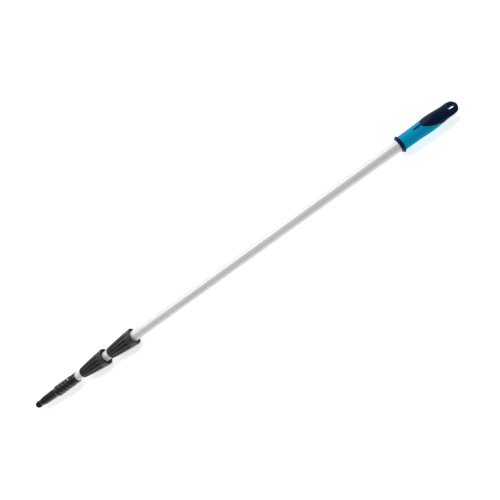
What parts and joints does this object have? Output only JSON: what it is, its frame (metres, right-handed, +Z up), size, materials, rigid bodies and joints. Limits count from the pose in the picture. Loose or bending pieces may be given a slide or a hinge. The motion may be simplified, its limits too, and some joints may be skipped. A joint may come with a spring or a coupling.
{
  "type": "telescopic extension pole",
  "caption": "Telescopic pole with twist-lock fluted collars, a ribbed push-on tool cone at the slim end and a soft grip with a hanging slot at the other.",
  "frame": {"origin": "centre of the bounding box, at its lowest face: the surface the collapsed pole lies on", "axes": "+X along the pole from the tool cone to the grip, +Z up, +Y across; the slot in the grip runs along Z"},
  "size_m": [1.341, 0.0488, 0.0485],
  "materials": {
    "tube": "satin anodised, drawn along its length",
    "collar": "black, fine moulded texture",
    "cap": "black, plain moulded",
    "cone": "black, satin moulded",
    "nose": "black, soft matt",
    "sleeve": "black, moulded",
    "bush": "natural white, smooth",
    "grip_hard": "navy, satin moulded",
    "grip_soft": "bright blue soft overmould, matt",
    "steel": "zinc-plated"
  },
  "bodies": {
    "handle": {"outer_tube": "tube", "outer_end_plug": "bush", "grip_core": "grip_hard", "grip_sleeve": "grip_soft", "rear_lock_sleeve": "sleeve", "rear_sleeve_pins": "steel"},
    "rear_ring": {"rear_clamp_ring": "bush"},
    "rear_nut": {"rear_lock_nut": "collar", "rear_nut_cap": "cap"},
    "middle_guide": {"middle_guide_bush": "bush"},
    "middle": {"middle_tube": "tube", "front_lock_sleeve": "sleeve", "front_sleeve_pins": "steel"},
    "front_ring": {"front_clamp_ring": "bush"},
    "front_nut": {"front_lock_nut": "collar", "front_nut_cap": "cap"},
    "inner_guide": {"inner_guide_bush": "bush"},
    "inner": {"inner_tube": "tube", "inner_tube_plug": "bush", "tool_cone": "cone", "nose_cap": "nose", "cone_screws": "steel"}
  },
  "joints": [
    {"name": "middle_slide", "type": "slide", "parent": "handle", "child": "middle_guide", "axis": [-1, 0, 0], "range_m": [0, 0.768]},
    {"name": "middle_turn", "type": "hinge", "parent": "middle_guide", "child": "middle", "pos_m": [0.579, 0, 0.024], "axis": [-1, 0, 0], "continuous": true},
    {"name": "inner_slide", "type": "slide", "parent": "middle", "child": "inner_guide", "axis": [-1, 0, 0], "range_m": [0, 0.834]},
    {"name": "inner_turn", "type": "hinge", "parent": "inner_guide", "child": "inner", "pos_m": [0.541, 0, 0.024], "axis": [-1, 0, 0], "continuous": true},
    {"name": "rear_nut_advance", "type": "slide", "parent": "handle", "child": "rear_ring", "axis": [-1, 0, 0], "range_m": [0, 0.00167]},
    {"name": "rear_nut_turn", "type": "hinge", "parent": "rear_ring", "child": "rear_nut", "pos_m": [-0.3845, 0, 0.024], "axis": [-1, 0, 0], "range_deg": [0, 150]},
    {"name": "front_nut_advance", "type": "slide", "parent": "middle", "child": "front_ring", "axis": [-1, 0, 0], "range_m": [0, 0.00167]},
    {"name": "front_nut_turn", "type": "hinge", "parent": "front_ring", "child": "front_nut", "pos_m": [-0.4885, 0, 0.024], "axis": [-1, 0, 0], "range_deg": [0, 150]}
  ],
  "couplings": [
    {"joint": "rear_nut_turn", "follows": "rear_nut_advance", "rad_per_m": 1570.8},
    {"joint": "front_nut_turn", "follows": "front_nut_advance", "rad_per_m": 1570.8}
  ]
}
